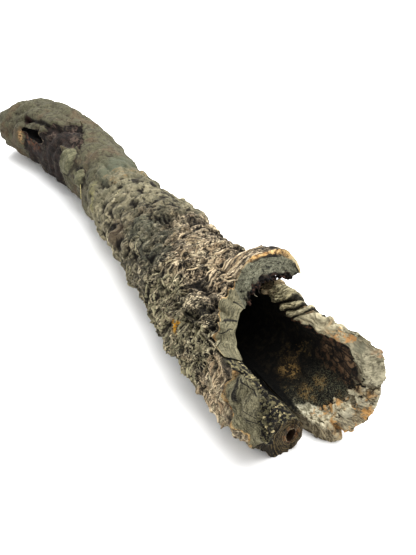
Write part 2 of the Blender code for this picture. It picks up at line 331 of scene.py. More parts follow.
def bark_skin(place, along):
    """The fine bark's height over the coarse relief in millimetres, how deep in a crack it lies, its tone."""
    mm = place * 1000
    near = ramp(along, 0.25, 0.10)
    far = ramp(along, 0.25, 0.35)
    p = mm + noise.noise_vector(mm / 19) * 4.2 + noise.noise_vector(mm / 6) * 0.8
    lump = noise.fractal(in_cells(p, LUMP_MM), 1.0, 2.1, 3)
    layers = terraced(lump * 2.0)
    waist = hump(along, 0.135, 0.245, 0.04)
    mound = noise.noise(in_cells(p, MOUND_MM, (0, 0, 40)))
    fold = noise.noise(in_cells(p, FOLD_MM, (3, 0, 0)))
    crease = (1 - ramp(abs(fold), 0.0, 0.10)) * ramp(noise.noise(mm / 16 + Vector((0, 9, 0))), -0.30, 0.05)
    wrinkle = noise.noise(in_cells(p, WRINKLE_MM, (0, 0, 9)))
    fine_crease = 1 - ramp(abs(wrinkle), 0.0, 0.13)
    crumb = noise.fractal(mm / CRUMB_MM, 0.8, 2.1, 2)
    height = layers * (2.1 - 1.5 * far - 0.9 * waist)
    height += rounded(fold, FOLD_ROUNDING) * (1.7 + 0.9 * near - 1.4 * far - 0.4 * waist)
    fine = rounded(wrinkle, FOLD_ROUNDING) * (0.35 + 1.25 * near - 0.25 * far - 0.25 * waist)
    height += fine + crumb * (0.4 - 0.25 * far - 0.2 * waist)
    height += (rounded(mound, 2.2) - 0.6) * 2.4 * waist
    gaps, seeds = noise.voronoi(mm / PIT_MM)
    picked = ramp(noise.noise(seeds[0] * 3.7), 0.05, 0.2) * (1 - 0.85 * far)
    pit = picked * (1 - ramp(gaps[0], 0.08, 0.24))
    height -= pit * 2.8 + 1.6 - 1.0 * far
    between = (1 - ramp(abs(mound), 0.0, 0.06)) * waist
    fine_crease *= (0.15 + 0.55 * near) * (1 - far)
    crack = max(pit * (1 - 0.5 * waist), between * 0.8, crease * (0.85 - 0.65 * far), fine_crease)
    return height, crack, lump


def wall_place(along, degrees, depth):
    """A point of the wall, and its crack, stripping, plate tone and height of relief."""
    radius = on_curve(SECTIONS, along, 2)
    centre = Vector((on_curve(SECTIONS, along, 1), along, radius + on_curve(SECTIONS, along, 3)))
    turn = math.atan2(on_curve(SECTIONS, along - 0.004, 1) - on_curve(SECTIONS, along + 0.004, 1), 0.008)
    free = ramp(along, SLIT_END, FLAP["front"])
    flap = free * ramp(degrees, FLAP["from"], FLAP["to"])
    tip = free * ramp(degrees, FLAP_TIP["from"], FLAP_TIP["to"])
    hook = free * ramp(degrees, FLAP_HOOK["from"], FLAP_HOOK["to"])
    angle = math.radians(degrees - FLAP_HOOK["swing"] * hook)
    outward = Vector((math.cos(angle) * math.cos(turn), math.cos(angle) * math.sin(turn), math.sin(angle)))
    place = centre + outward * radius
    under = hump(math.degrees(angle) % 360, 250, 290, 35)
    relief = coarse_relief(place, along) * (1 - UNDERSIDE_WEAR * under)
    flare = straight_between(RIGHT_FLARE, along, 1) * ramp(degrees, 360, 394)
    bare = stripped_share(along, degrees)
    outside = radius + relief - bare * STRIPPED_DEPTH + flare
    outside += FLAP["lift"] * flap - FLAP_TIP["droop"] * tip**2
    wall = WALL_AT_MOUTH + (WALL_AT_FAR_END - WALL_AT_MOUTH) * ramp(along, 0.02, 0.45) - bare * STRIPPED_DEPTH
    wall -= RIGHT_WALL_LOSS * hump(degrees, 345, 404, 20) * ramp(along, SLIT_END, 0.03)
    wall += FLAP["wall_gain"] * hump(degrees, 58, 90, 14) * free
    wall += noise.noise(place / BORE_SWELL[0] + Vector((7, 3, 1))) * BORE_SWELL[1]
    wall += relief * RELIEF_IN_BORE
    wall += (FLAP_TIP["wall"] - wall) * tip
    outside, inside = with_roll(outside, outside - wall, along, degrees)
    outside += under * sum(sag * hump(along, start, stop, 0.025) for start, stop, sag in SEATS)
    height, crack, tone = bark_skin(place, along)
    lip = hump(degrees, 300, 404, 10) * ramp(along, SLIT_END, 0.05)
    flap_top = hump(degrees, 47, 80, 12) * ramp(along, SLIT_END, 0.082)
    quiet = (1 - 0.6 * under) * (1 - 0.75 * lip) * (1 - 0.75 * flap_top)
    outside -= (relief * RELIEF_IN_BORE - 0.0004) * flap_top
    quiet *= 1 - 0.45 * hump(degrees, 158, 205, 9) * ramp(along, 0.036, 0.014)
    raised, sunk = knob_relief(place)
    height = height / 1000 * quiet - sunk
    outside += raised
    for dip, from_deg, to_deg, low, high, soft in WALL_TOP_DIPS:
        height -= dip * ramp(degrees, from_deg, to_deg) * hump(along, low, high, soft)
    rim = straight_between(MOUTH_RIM, degrees, 1)
    for notch, size, half in NOTCHES:
        height -= size * math.exp(-(((degrees - notch) / half) ** 2)) * ramp(along, rim + 0.022, rim + 0.002)
    outside += height - 0.0030 * hump(degrees, 149, 160, 8) * ramp(along, 0.045, 0.010) * (along > -0.04)
    bore_place = centre + outward * inside
    stretched = Vector((bore_place.x, bore_place.y * 0.6, bore_place.z))
    pitted = noise.fractal(stretched / 0.009, 1.0, 2.0, 3) * 0.0008
    pitted += min(0.0, noise.noise(stretched / 0.004) + 0.25) * -0.0012
    inside += pitted
    point = centre + outward * (outside + (inside - outside) * depth)
    point.z = max(0.0, point.z)
    return point + ORIGIN, crack, bare, tone, height * 1000


def distance_along(row, degrees):
    """Where a row crosses this column, and its depth in the wall."""
    zone, share, depth = row
    turned = Vector((math.cos(math.radians(degrees)), math.sin(math.radians(degrees)), 0))
    start = straight_between(MOUTH_RIM, degrees, 1)
    start += (straight_between(MOUTH_RIM, degrees, 2) - start) * depth
    sawn = hump(degrees, 48, 204, 2)
    start += noise.noise(turned * 17 + Vector((0, 0, depth * 1.4))) * (0.0018 - 0.0015 * sawn)
    start += noise.noise(turned * 45 + Vector((0, 0, depth * 3.0))) * (0.0009 - 0.0007 * sawn)
    fringe = hump(degrees, 54, 84, 7) * ramp(depth, 0.60, 0.95)
    fringe += hump(degrees, 149, 176, 2) * ramp(depth, 0.75, 1.0)
    start += fringe * noise.fractal(Vector((degrees / 2.2, depth * 5.0, 0.0)), 1.0, 2.0, 3) * 0.0026
    end = FAR_END + FAR_RAGGED * noise.noise(turned * 2.5) + 0.0015 * noise.noise(turned * 9)
    spans = {"mouth": (start, MOUTH_ZONE_END), "waist": (MOUTH_ZONE_END, WAIST_END), "far": (WAIST_END, end)}
    low, high = spans.get(zone, (MOUTH_ZONE_END, end))
    return low + (high - low) * share, depth


rows = [(zone, (k / count) ** 1.08, 0.0) for zone, count in ROWS_OUTSIDE.items() for k in range(count)]
rows += [("far", 1.0, k / ROWS_FAR_RIM) for k in range(ROWS_FAR_RIM)]
rows += [("bore", 1 - k / ROWS_IN_BODY, 1.0) for k in range(ROWS_IN_BODY)]
rows += [("mouth", (1 - k / ROWS_IN_MOUTH) ** 1.3, 1.0) for k in range(ROWS_IN_MOUTH)]
rows += [("mouth", 0.0, 1 - k / ROWS_MOUTH_RIM) for k in range(ROWS_MOUTH_RIM + 1)]

sheet = bmesh.new()
sheet_mark = sheet.verts.layers.float_vector.new("sheet")
zone_mark = sheet.verts.layers.float_vector.new("zones")
skin_mark = sheet.verts.layers.float_vector.new("skin")
bare_mark = sheet.verts.layers.float_vector.new("bare")
bmesh.ops.create_grid(sheet, x_segments=len(COLUMN_ANGLES) - 1, y_segments=len(rows) - 1, size=0.5)
for vertex in sheet.verts:
    degrees = COLUMN_ANGLES[round((vertex.co.x + 0.5) * (len(COLUMN_ANGLES) - 1))]
    row = rows[round((vertex.co.y + 0.5) * (len(rows) - 1))]
    along, depth = distance_along(row, degrees)
    vertex.co, crack, bare, tone, height = wall_place(along, degrees, depth)
    on_rim = row[0] == "mouth" and row[1] == 0.0
    from_rim = along - straight_between(MOUTH_RIM, degrees, 2)
    vertex[sheet_mark] = (degrees / 100, along * 10, depth)
    vertex[zone_mark] = (float(on_rim), float(depth > 0.999 and not on_rim), from_rim * 10)
    vertex[skin_mark] = (crack, tone, height)
    own = vertex.co - ORIGIN
    knob = max(ramp((own - spot).length, size * 1.02, size * 0.80) for spot, size, _ in KNOBS[:2])
    vertex[bare_mark] = (bare, knob if depth == 0.0 else 0.0, 0.0)
bmesh.ops.remove_doubles(sheet, verts=[v for v in sheet.verts if v.is_boundary], dist=0.00001)
bmesh.ops.recalc_face_normals(sheet, faces=sheet.faces)


def keep_in_box(shape, over_floor=HELD_IN):
    """Hold every point of a shape just inside the box that the tube fills."""
    low_corner, high_corner = solid_box
    for vertex in shape.verts:
        for axis, margin in enumerate((HELD_IN, HELD_IN, over_floor)):
            low, high = low_corner[axis] + margin, high_corner[axis] - HELD_IN
            vertex.co[axis] = min(high, max(low, vertex.co[axis]))


def into_scene(shape, name):
    """A finished shape as an object of the scene."""
    mesh = bpy.data.meshes.new(name)
    shape.to_mesh(mesh)
    shape.free()
    piece = bpy.data.objects.new(name, mesh)
    bpy.context.scene.collection.objects.link(piece)
    return piece


def smooth_but_for_edges(piece, sharpest_deg):
    piece.data.shade_smooth()
    piece.data.set_sharp_from_angle(angle=math.radians(sharpest_deg))


keep_in_box(sheet, over_floor=0.0)
bark = into_scene(sheet, "bark_tube")


def cut_hollow(name, hollow):
    """Take an uneven egg-shaped hollow out of the wall."""
    centre, half_sizes, turn_deg = hollow
    egg = bmesh.new()
    bmesh.ops.create_icosphere(egg, subdivisions=4, radius=1.0)
    turn = Matrix.Rotation(math.radians(turn_deg), 4, "Z") @ Matrix.Diagonal(half_sizes).to_4x4()
    for vertex in egg.verts:
        ragged = 1 + 0.14 * noise.noise(vertex.co * 1.7) + 0.09 * noise.noise(vertex.co * 5)
        vertex.co = turn @ (vertex.co * ragged) + centre + ORIGIN
    cutter = into_scene(egg, name)
    cut = bark.modifiers.new(name, "BOOLEAN")
    cut.object, cut.operation, cut.solver = cutter, "DIFFERENCE", "MANIFOLD"
    bpy.context.view_layer.update()
    carved = bpy.data.meshes.new_from_object(bark.evaluated_get(bpy.context.evaluated_depsgraph_get()))
    bark.modifiers.clear()
    bark.data = carved
    bpy.data.objects.remove(cutter)


cut_hollow("window", WINDOW)
cut_hollow("roll_hollow", ROLL_HOLLOW)
smooth_but_for_edges(bark, 32)


class Wire:
    """An output of one of a material's nodes. Sums written on it add the Math nodes that work them out."""

    def __init__(self, socket):
        self.socket = socket

    def node(self, kind, settings, inputs, output=0):
        tree = self.socket.id_data
        made = tree.nodes.new("ShaderNode" + kind)
        for name, value in settings.items():
            setattr(made, name, value)
        for name, value in inputs.items():
            if isinstance(value, Wire):
                tree.links.new(value.socket, made.inputs[name])
            else:
                made.inputs[name].default_value = value
        return Wire(made.outputs[output])

    def sum(self, operation, first, second):
        return self.node("Math", {"operation": operation}, {0: first, 1: second})

    def __add__(self, other):
        return self.sum("ADD", self, other)

    def __sub__(self, other):
        return self.sum("SUBTRACT", self, other)

    def __rsub__(self, other):
        return self.sum("SUBTRACT", other, self)

    def __mul__(self, other):
        return self.sum("MULTIPLY", self, other)

    __radd__, __rmul__ = __add__, __mul__

    def least(self, other):
        return self.sum("MINIMUM", self, other)

    def most(self, other):
        return self.sum("MAXIMUM", self, other)

    def size(self):
        """The value without its sign."""
        return self.sum("ABSOLUTE", self, 0.0)

    def split(self):
        """The three parts of a vector."""
        first = self.node("SeparateXYZ", {}, {0: self})
        return [Wire(output) for output in first.socket.node.outputs]

    def mark(self, name):
        """The three parts of a mark on the mesh's points."""
        return self.node("Attribute", {"attribute_name": name}, {}).split()

    def step(self, start, end):
        """0 below start and 1 past end, smooth between them."""
        ranges = {"From Min": start, "From Max": end}
        return self.node("MapRange", {"interpolation_type": "SMOOTHSTEP"}, {"Value": self, **ranges})

    def band(self, start, end, soft):
        return self.step(start - soft, start) * (1 - self.step(end, end + soft))

    def scaled(self, scales, shift=(0, 0, 0)):
        return self.node("Mapping", {}, {"Vector": self, "Scale": scales, "Location": shift})

    def noise(self, scale, detail=2.0, rough=0.5, warp=0.0):
        inputs = {"Vector": self, "Scale": scale, "Detail": detail, "Roughness": rough, "Distortion": warp}
        return self.node("TexNoise", {}, inputs)

    def cells(self, scale, feature="F1", output=0):
        return self.node("TexVoronoi", {"feature": feature}, {"Vector": self, "Scale": scale}, output)

    def between(self, first, second):
        """The mix of two colours that this share gives."""
        return self.node("Mix", {"data_type": "RGBA"}, {0: self, 6: paint(first), 7: paint(second)}, 2)

    def tinted(self, colour, share):
        """This colour with another laid over it."""
        return self.node("Mix", {"data_type": "RGBA"}, {0: share, 6: self, 7: paint(colour)}, 2)

    def layered(self, *layers):
        """This colour with others laid over it in turn, each with its share."""
        coat = self
        for colour, share in layers:
            coat = coat.tinted(colour, share)
        return coat

    def beside(self, other):
        """A place on a flat sheet, from this value across it and another up it."""
        return self.node("CombineXYZ", {}, {0: self, 1: other, 2: 0.0})

    def streaks(self, detail=2.0, rough=0.5):
        """Noise that varies with this value alone."""
        inputs = {"W": self, "Scale": 1.0, "Detail": detail, "Roughness": rough}
        return self.node("TexNoise", {"noise_dimensions": "1D"}, inputs)

    def away(self, place, radii):
        """How many radii off a place of the tube is, up to two."""
        halves = [0.5 / radius for radius in radii]
        shift = [-(at + origin) * half for at, origin, half in zip(place, ORIGIN, halves)]
        inputs = {"Vector": self.scaled(halves, shift)}
        return 2 - self.node("TexGradient", {"gradient_type": "SPHERICAL"}, inputs, 1) * 2

    def patch(self, place, radii, ragged, edge=0.35):
        """1 round a place of the tube and 0 away from it, with a ragged border."""
        return 1 - (self.away(place, radii) + ragged).step(1 - edge, 1 + edge)


def paint(colour):
    """A colour for a shader, from another node or from the 0 to 255 values that a screen shows it with."""
    if isinstance(colour, Wire):
        return colour
    return (*(((c / 255 + 0.055) / 1.055) ** 2.4 for c in colour), 1.0)


def start_material(name):
    """A new material, and the place on the object that its patterns read."""
    look = bpy.data.materials.new(name)
    look.use_nodes = True
    return look, Wire(look.node_tree.nodes.new("ShaderNodeTexCoord").outputs["Object"])


def grains(spot):
    """Noise of five sizes: blotches, mottling, specks, flecks and grit."""
    sizes = ((26, 2.0, 0.5), (75, 3.0, 0.6), (190, 4.0, 0.7), (330, 3.0, 0.65), (1100, 3.0, 0.7))
    return [spot.noise(*size) for size in sizes]


def weathering(degrees, along, mottle, blotch):
    """How near the mouth the bark is, how near the lobe beside the roll, and how tan it is there."""
    near = 1 - along.step(90, 250)
    by_lobe = degrees.band(156, 216, 10) * (1 - along.step(14, 36))
    tan = near * (1 - 0.8 * degrees.step(112, 150)) + by_lobe + (mottle - 0.5) * 1.3 + (blotch - 0.5) * 1.2
    return near, by_lobe, tan.step(0.25, 0.8) * 0.9


def coat(piece, look, colour, rough, height, relief):
    """Give a piece its material: its colour, its roughness and a bump of so much relief."""
    tree = look.node_tree
    bump = colour.node("Bump", {}, {"Strength": 1.0, "Distance": relief, "Height": height})
    for socket, wire in {"Base Color": colour, "Roughness": rough, "Normal": bump}.items():
        tree.links.new(wire.socket, tree.nodes["Principled BSDF"].inputs[socket])
    piece.data.materials.clear()
    piece.data.materials.append(look)


bark_look, spot = start_material("cork_bark")
turned, reach, depth = spot.mark("sheet")
cut_face, in_bore, from_rim = spot.mark("zones")
crack, tone, height = spot.mark("skin")
degrees = turned * 100
along = reach * 100  # millimetres
inward = from_rim * 100
blotch, mottle, specks, flecks, grit = grains(spot)
GOLDEN_PAINT, GOLDEN_SPOT = (206, 156, 44), ((-0.0449, 0.0692, 0.0575), (0.004, 0.0055, 0.005))
round_fibres = spot.scaled((1, 4, 1)).noise(190, 3.0, 0.65, 0.6)
chips = spot.scaled((1, 1.7, 1)).cells(190, output=1).split()[0]
gaps = 1 - (spot.scaled((1, 3.4, 1)).noise(95, 3.0, 0.55, 1.1) - 0.5).size().step(0.006, 0.034)
fine_gaps = 1 - (spot.scaled((1, 2.4, 1)).noise(200, 3.0, 0.6, 1.6) - 0.5).size().step(0.015, 0.075)
near, by_lobe, tan_share = weathering(degrees, along, mottle, blotch)
far = along.step(225, 320)
low_flank = degrees.band(165, 320, 40)
on_flap = degrees.band(30, 93, 5) * (1 - along.step(70, 90))
wall_top = degrees.band(374, 410, 9) * (1 - along.step(64, 92))

# weathered outside: tan and pink ridges at the mouth, grey green lumps further on, smooth olive at the end
fresh = specks.step(0.38, 0.62).between((146, 129, 107), (224, 207, 178))
weathered = mottle.step(0.36, 0.64).between((112, 107, 88), (162, 153, 128))
olive = specks.step(0.35, 0.65).between((60, 56, 44), (96, 94, 75))
off_wall_top = 1 - wall_top
fine_gap_share = (near * 0.85 + 0.15 * (1 - far)).least(0.85)
grey_patch = spot.patch((-0.0284, 0.16, 0.0752), (0.018, 0.036, 0.014), (mottle - 0.5) * 1.6, 0.3)
brown_patch = spot.patch((-0.039, 0.208, 0.056), (0.012, 0.016, 0.012), (mottle - 0.5) * 1.2, 0.3)
black = spot.patch((-0.0455, 0.038, 0.06), (0.014, 0.022, 0.016), (mottle - 0.5) * 1.8, 0.3)
black_fibres = spot.scaled((1.6, 1, 1)).noise(300, 3.0, 0.6, 0.8).step(0.46, 0.58)
outside = weathered.layered(
    (fresh, tan_share),
    (olive, far),
    ((196, 176, 148), by_lobe * specks.step(0.4, 0.6) * 0.6),
    ((88, 72, 56), blotch.step(0.5, 0.62) * mottle.step(0.4, 0.6) * (0.5 - 0.2 * near)),
    # painted highlight: paler on the raised tops of the relief
    ((216, 202, 172), height.step(0.4, 2.4) * (0.18 + 0.62 * near) * chips.step(0.25, 0.6)),
    ((60, 60, 50), (1 - chips).step(0.6, 0.9) * (0.5 - 0.4 * far)),
    ((56, 52, 42), (0 - tone).step(0.05, 0.5) * 0.45 * (1 - far * 0.6)),
    # painted light: the low flank made paler where the lamp leaves it in shade
    ((204, 193, 164), low_flank * (1 - far) * chips.step(0.4, 0.8) * 0.5),
    ((82, 82, 66), along.band(195, 300, 30) * mottle.step(0.36, 0.56) * 0.45),
    ((42, 38, 31), flecks.step(0.56, 0.68) * 0.65),
    ((178, 168, 146), (1 - flecks).step(0.6, 0.72) * (0.5 - 0.3 * far)),
    # painted shade in the gaps and fine gaps between the ridges, which the bump also sinks
    ((22, 17, 13), gaps * (0.85 * near + 0.2 * (1 - far)) * off_wall_top * (1 - 0.6 * by_lobe)),
    ((20, 17, 13), fine_gaps * fine_gap_share * off_wall_top * mottle.step(0.38, 0.5) * (1 - 0.6 * by_lobe)),
    ((84, 88, 76), grey_patch * 0.4),
    ((66, 48, 36), brown_patch * 0.6),
    (GOLDEN_PAINT, spot.patch(*GOLDEN_SPOT, (flecks - 0.5) * 2.4, 0.4)),
    # painted shade over their dirt: near black in the cracks and pits of the relief
    ((16, 12, 9), crack.step(0.2, 0.66) * (0.7 + 0.24 * near - 0.3 * by_lobe)),
    # painted shade: dark where the relief lies low
    ((24, 19, 14), (0 - height).step(0.8, 2.6) * 0.9),
    # black and pale fibres: painted shade in the gaps between them and painted highlight on them
    (black_fibres.between((20, 16, 12), (214, 204, 174)), black * 0.85),
)

# marks towards the far end: a pale lichen band, tan fibres and yellow lichen below it, greenish knobs
ragged = (specks - 0.5) * 1.1
band_place = along - 318 + (degrees - 53.6) * 0.4 + (mottle - 0.5) * 18
band = (1 - band_place.size().step(4, 19)) * degrees.band(30, 122, 12)
tan = degrees.band(62, 118, 10) * (along + (mottle - 0.5) * 16).band(274, 290, 5)
yellow = degrees.band(138, 166, 6) * (along + (degrees - 150) * 0.8 + (mottle - 0.5) * 14).band(281, 287, 3)
stripped_here, knobs, _ = spot.mark("bare")
knob_paint = specks.step(0.38, 0.62).between((78, 78, 60), (114, 112, 90))
knob_paint = knob_paint.tinted((54, 52, 38), round_fibres.step(0.5, 0.62) * 0.55)
outside = outside.layered(
    ((80, 84, 70), band * (0.45 + 0.4 * specks.step(0.4, 0.6))),
    ((128, 108, 78), tan * round_fibres.step(0.46, 0.6) * mottle.step(0.44, 0.58) * 0.8),
    ((128, 124, 84), yellow * round_fibres.step(0.44, 0.58) * 0.6),
    # painted shadow: a dark ring round the foot of each knob
    ((30, 25, 19), (knobs + (specks - 0.5) * 0.5).band(0.12, 0.42, 0.12) * 0.7),
    (knob_paint, (knobs + (specks - 0.5) * 0.6).step(0.4, 0.8) * 0.75),
)

# stripped bark: purple brown, in small pinkish blocks above and rusty below the window
stripped_low = degrees.band(190, 232, 10) * (along + (mottle - 0.5) * 20).band(396, 470, 12)
bare = (stripped_here.most(stripped_low) + (specks - 0.5) * 0.9).step(0.42, 0.58)
blocks = spot.scaled((1, 0.8, 1)).cells(150, output=1).split()[0]
rusty = spot.patch((-0.045, 0.448, 0.041), (0.014, 0.017, 0.0085), ragged, 0.4)
stripped = specks.step(0.35, 0.65).between((20, 16, 13), (50, 39, 33)).layered(
    ((78, 72, 60), mottle.step(0.54, 0.62) * (1 - flecks.step(0.44, 0.56)) * 0.7),
    # painted shade in the gaps of the stripped bark
    ((12, 9, 8), gaps * 0.8),
    ((82, 70, 62), blocks.step(0.62, 0.7) * flecks.step(0.4, 0.55) * (1 - degrees.step(138, 150))),
    ((108, 74, 54), rusty * (flecks * 0.5 + specks * 0.5).step(0.46, 0.6) * 0.75),
)
orange = spot.patch((-0.0495, 0.47, 0.041), (0.0034, 0.004, 0.0078), (flecks - 0.5) * 3.4 + ragged, 0.5)
outside = outside.layered(
    (stripped, bare),
    (flecks.step(0.42, 0.58).between((84, 62, 44), (190, 158, 114)), orange * 0.85),
    ((44, 22, 17), spot.patch((-0.0385, 0.47, 0.0575), (0.0048, 0.0048, 0.0048), ragged, 0.4) * 0.9),
)

# top edge of the right-hand wall: weathered pale, with lines that run along it and rusty stains
edge_lines = spot.scaled((1, 0.16, 1)).noise(420, 3.0, 0.6, 0.3)
ridged = spot.scaled((1, 3, 1)).noise(230, 2.0, 0.5, 0.4)
wall_paint = edge_lines.step(0.36, 0.62).between((112, 106, 88), (166, 159, 138)).layered(
    ((176, 134, 98), blotch.step(0.52, 0.62) * specks.step(0.4, 0.56) * 0.6),
    ((96, 98, 84), (1 - mottle).step(0.5, 0.66) * 0.6),
    (ridged.step(0.38, 0.6).between((58, 55, 42), (118, 112, 90)), along.band(28, 78, 4)),
)
# where the wall's top is cracked, the painted shade of the cracks shows through
outside = outside.tinted(wall_paint, wall_top * (1 - crack.step(0.5, 0.9) * 0.6))

# sawn face: grey green, with fine growth lines that follow the bark's edge and an orange rind
lines = (turned * 3.0).beside(depth * 7.0).noise(3.0, 5.0, 0.75, 0.3)
sawn = lines.step(0.38, 0.62).between((64, 61, 47), (120, 115, 93)).layered(
    ((134, 129, 106), specks.step(0.52, 0.66) * 0.6),
    ((38, 35, 27), flecks.step(0.58, 0.7) * 0.7),
    ((50, 46, 36), grit.step(0.54, 0.62) * 0.5),
)
# drying cracks slant across the sawn face: angle, from and to in the wall's depth, how wide
for split, low, high, width in (
    (107.5, 0.45, 0.98, 0.85),
    (125.0, 0.25, 0.95, 0.95),
    (133.5, 0.15, 0.85, 0.4),
    (156.0, 0.25, 0.6, 0.7),
    (174.0, 0.45, 0.9, 0.35),
    (180.0, 0.4, 0.85, 0.45),
):
    off = degrees - split + (depth - 0.5) * (13 if split < 148 else -9) + (mottle - 0.5) * 5
    cleft = (1 - off.size().step(width * 0.6, width * 1.5)) * depth.band(low, high, 0.05)
    sawn = sawn.tinted((14, 11, 9), cleft * 0.95)
arc = (depth - 0.16 - (degrees - 154) * 0.006 + (mottle - 0.5) * 0.16).size()
hatching = (turned * 120.0 + depth * 30.0).streaks(2.0, 0.6)
face_lines = (turned * 9.0).beside(depth * 11.0).noise(4.0, 4.0, 0.8, 0.8)
sawn = sawn.layered(
    ((14, 11, 9), (1 - arc.step(0.018, 0.05)) * degrees.band(155, 172, 3) * 0.95),
    ((40, 36, 27), degrees.band(160, 200, 6) * hatching.step(0.52, 0.6) * 0.35),
    # painted shade: the flap's face darker, as it faces away from the light
    ((46, 47, 38), on_flap * (0.3 + 0.35 * mottle.step(0.4, 0.6))),
    (face_lines.step(0.44, 0.56).between((34, 34, 28), (126, 126, 110)), on_flap * 0.6),
    ((14, 13, 11), on_flap * flecks.step(0.55, 0.61) * 0.8),
    ((140, 140, 122), on_flap * (1 - flecks).step(0.56, 0.64) * 0.45),
)
flap_end = on_flap * degrees.band(40, 72, 10)
past_rind = depth + (specks - 0.5) * 0.2 - (0.045 + 0.15 * flap_end + (mottle - 0.5) * 0.25 * flap_end)
patchy_rind = mottle.step(0.44, 0.56)
rind_share = (0.35 + 0.5 * patchy_rind + 0.4 * flap_end + 0.25 * degrees.band(150, 200, 6)).least(1.0)
rind_paint = specks.step(0.38, 0.6).between((126, 94, 56), (192, 164, 116)).layered(
    ((40, 30, 22), (grit * 0.5 + flecks * 0.5).step(0.51, 0.57) * 0.85),
    ((206, 196, 164), degrees.band(30, 54, 4) * 0.6),
)
charred = degrees.band(30, 84, 4) * on_flap * (depth + (specks - 0.5) * 0.4).step(0.82, 0.92)
sawn = sawn.layered(
    (rind_paint, (1 - past_rind.step(-0.04, 0.05)) * rind_share),
    ((150, 148, 128), (1 - grit).step(0.52, 0.62) * (0.15 + 0.2 * on_flap)),
    # painted shade just under the rind's edge on the flap
    ((16, 13, 11), past_rind.band(-0.03, 0.05, 0.03) * flap_end * patchy_rind * 0.9),
    (flecks.step(0.45, 0.6).between((16, 13, 11), (62, 46, 37)), charred),
)
outside = outside.tinted(rind_paint, flap_end * (1 - (inward + 10 * (specks - 0.5)).step(8, 13)) * 0.7)

# bore: black with rot and dirt and with painted shade, tan where it has rubbed off, pale and orange at the
# broken lip
dirt_and_shade = specks.step(0.44, 0.66).between((15, 13, 11), (46, 40, 29))
worn = (flecks * 0.45 + mottle * 0.55 + 0.35 * blotch).step(0.75, 0.8) * 0.4
for place, radii in (
    ((0.027, 0.0269, 0.0218), (0.01, 0.011, 0.008)),
    ((0.0251, 0.0018, 0.0179), (0.007, 0.009, 0.006)),
    ((0.0345, -0.001, 0.0275), (0.006, 0.007, 0.005)),
):
    worn = worn.most(spot.patch(place, radii, (flecks - 0.5) * 2.2 + (mottle - 0.5) * 1.8, 0.2))
open_end = 1 - along.step(0, 62)
rubbed = (1 - along.step(24, 52)) * (1 - degrees.step(352, 380) * 0.5)
tan = grit.step(0.42, 0.56).between((78, 65, 42), (150, 126, 84))
pale = open_end * degrees.band(290, 340, 12) * (1 - along.step(-6, 22))
ruddy = degrees.band(350, 392, 12) * (1 - along.step(0, 24)) * (specks * 0.6 + mottle * 0.4).step(0.47, 0.57)
panel = spot.patch((0.0402, -0.016, 0.054), (0.01, 0.026, 0.011), (specks - 0.5) * 1.4, 0.25)
long_spot = spot.scaled((1, 0.5, 1))
plates = long_spot.cells(170, output=1).split()[0]
panel_paint = plates.between((52, 39, 30), (142, 118, 92)).layered(
    ((14, 11, 8), 1 - long_spot.cells(170, "DISTANCE_TO_EDGE").step(0.03, 0.12)),
    ((26, 20, 15), flecks.step(0.44, 0.56) * 0.8),
)
lip_width = 2 + 6 * degrees.band(296, 345, 12) + 14 * degrees.band(280, 302, 5)
lip = 1 - (inward + (mottle - 0.5) * 34 + (flecks - 0.5) * 26 - lip_width).step(-3, 4)
lip_tan = flecks.step(0.42, 0.62).between((74, 62, 46), (150, 132, 104))
lip_paint = flecks.step(0.42, 0.6).between((120, 116, 98), (196, 191, 170)).layered(
    (lip_tan, degrees.step(322, 352) * (0.55 + 0.45 * mottle.step(0.4, 0.56))),
    ((178, 136, 86), blotch.step(0.54, 0.6) * specks.step(0.48, 0.56) * 0.7),
)
bits = spot.cells(620, output=1).split()[0]
crumbs = bits.step(0.42, 0.58).between((18, 16, 12), (104, 98, 74)).layered(
    ((146, 136, 106), bits.step(0.93, 0.96)),
    ((14, 12, 10), (flecks * 0.5 + mottle * 0.5).step(0.5, 0.58) * 0.75),
)
bore = dirt_and_shade.layered(
    (tan, worn * rubbed * (0.12 + 0.88 * flecks.step(0.47, 0.53))),
    ((104, 104, 86), pale * grit.step(0.5, 0.56) * 0.7),
    ((84, 86, 70), (mottle * 0.5 + grit * 0.5).step(0.53, 0.62) * open_end * 0.35),
    (specks.step(0.45, 0.6).between((52, 40, 32), (108, 84, 64)), ruddy * 0.75),
    (panel_paint, panel * 0.8),
    (lip_paint, lip * degrees.band(290, 395, 4)),
    (crumbs, degrees.band(148, 284, 6) * (1 - along.step(30, 60))),
    # painted shadow: black in the bore and on the scoop's edge beside the slit
    ((9, 9, 7), degrees.band(264, 288, 3) * (along + (specks - 0.5) * 12).step(-6, 4) * 0.96),
)

# torn rims: the broken lip of the scoop and the roll, pale and grey brown, and the crumbly edge of the flap
torn_lines = spot.scaled((1, 0.3, 1)).noise(330, 3.0, 0.65, 0.4)
from_hollow = spot.away(ROLL_HOLLOW[0], (0.03, 10.0, 0.0424)) * 30  # millimetres
curl_rings = (from_hollow * 0.88 + mottle * 3.2).streaks(3.0, 0.7)
rusty_ring = 1 - (from_hollow + (mottle - 0.5) * 9).step(4, 8)
roll_paint = curl_rings.step(0.42, 0.58).between((28, 24, 17), (98, 86, 62)).layered(
    ((20, 17, 13), flecks.step(0.5, 0.62) * 0.8),
    ((30, 26, 19), (from_hollow + (specks - 0.5) * 8).step(13, 20) * 0.85),
    (specks.step(0.42, 0.58).between((38, 26, 18), (122, 88, 56)), rusty_ring * 0.85),
)
torn = torn_lines.step(0.36, 0.64).between((84, 77, 62), (150, 140, 118)).layered(
    ((38, 32, 25), (flecks * 0.6 + mottle * 0.4).step(0.52, 0.62) * 0.85),
    ((176, 132, 82), degrees.band(308, 346, 8) * blotch.step(0.52, 0.6) * specks.step(0.47, 0.57) * 0.8),
    (wall_paint, degrees.band(366, 410, 8) * 0.9),
    (roll_paint, degrees.band(205, 277, 2)),
)
lobe_end = degrees.band(150, 190, 4) * (depth + (specks - 0.5) * 0.4).step(0.66, 0.8)
sawn = sawn.tinted(crumbs, degrees.band(147.0, 150.6, 0.6) + lobe_end)
